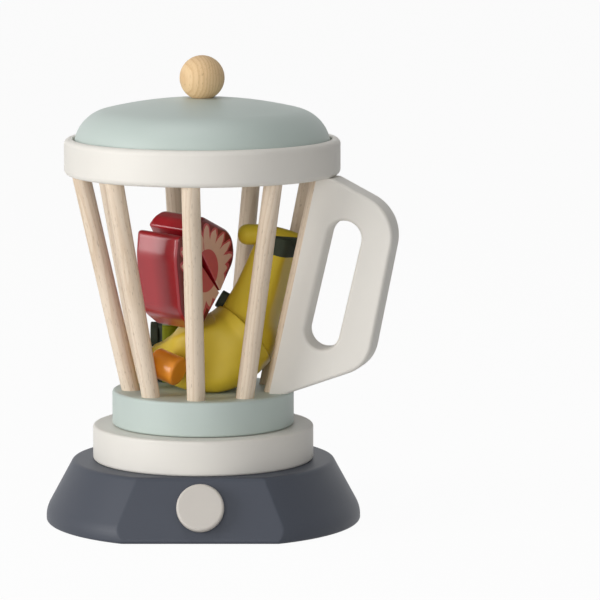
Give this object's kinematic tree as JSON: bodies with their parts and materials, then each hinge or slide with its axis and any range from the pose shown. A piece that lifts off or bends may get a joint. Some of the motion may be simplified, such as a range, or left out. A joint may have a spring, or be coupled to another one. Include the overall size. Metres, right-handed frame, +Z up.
{
  "type": "toy blender",
  "caption": "Wooden play blender: a turned base with a knob, a lift-off jar made of leaning dowels with a D-shaped handle and play food inside, and a lift-off domed lid with a ball.",
  "frame": {"origin": "centre of the base's underside, on the surface it stands on", "axes": "+Z up along the axis of base, jar and lid; the sloped flat with the knob faces -Y; the handle points mostly to +X, turned 14 degrees towards -Y"},
  "size_m": [0.1939, 0.1661, 0.2564],
  "materials": {
    "slate_paint": "satin paint on wood",
    "white_paint": "satin paint on wood",
    "mint_paint": "satin paint on wood",
    "bare_wood": "sanded bare wood",
    "red_paint": "gloss paint on wood",
    "yellow_paint": "satin paint on wood",
    "orange_paint": "satin paint on wood",
    "green_paint": "satin paint on wood"
  },
  "bodies": {
    "base": {"base_block": "slate_paint", "pedestal_disc": "white_paint", "locating_peg": "bare_wood", "glue_dowel_1": "bare_wood", "glue_dowel_2": "bare_wood", "shaft_pin": "bare_wood"},
    "knob": {"knob_disc": "white_paint", "knob_shaft": "bare_wood"},
    "jar": {"jar_floor": "mint_paint", "dowel_1": "bare_wood", "dowel_2": "bare_wood", "dowel_3": "bare_wood", "dowel_4": "bare_wood", "dowel_5": "bare_wood", "dowel_6": "bare_wood", "dowel_7": "bare_wood", "dowel_8": "bare_wood", "dowel_9": "bare_wood", "top_ring": "white_paint", "handle_plate": "white_paint", "handle_pin_1": "bare_wood", "handle_pin_2": "bare_wood", "banana_chunk": "yellow_paint", "banana_top": "yellow_paint", "green_chunk": "green_paint", "orange_stub": "orange_paint", "strawberry_cheek": "red_paint", "strawberry_half": "red_paint"},
    "lid": {"lid_dome": "mint_paint", "lid_ball": "bare_wood", "ball_pin": "bare_wood"}
  },
  "joints": [
    {"name": "knob_turn", "type": "hinge", "parent": "base", "child": "knob", "pos_m": [0, -0.06942, 0.018], "axis": [0, -0.9341, 0.3571], "continuous": true},
    {"name": "jar_lift", "type": "slide", "parent": "base", "child": "jar", "axis": [0, 0, 1], "range_m": [0, 0.08]},
    {"name": "lid_lift", "type": "slide", "parent": "jar", "child": "lid", "axis": [0, 0, 1], "range_m": [0, 0.06]}
  ]
}
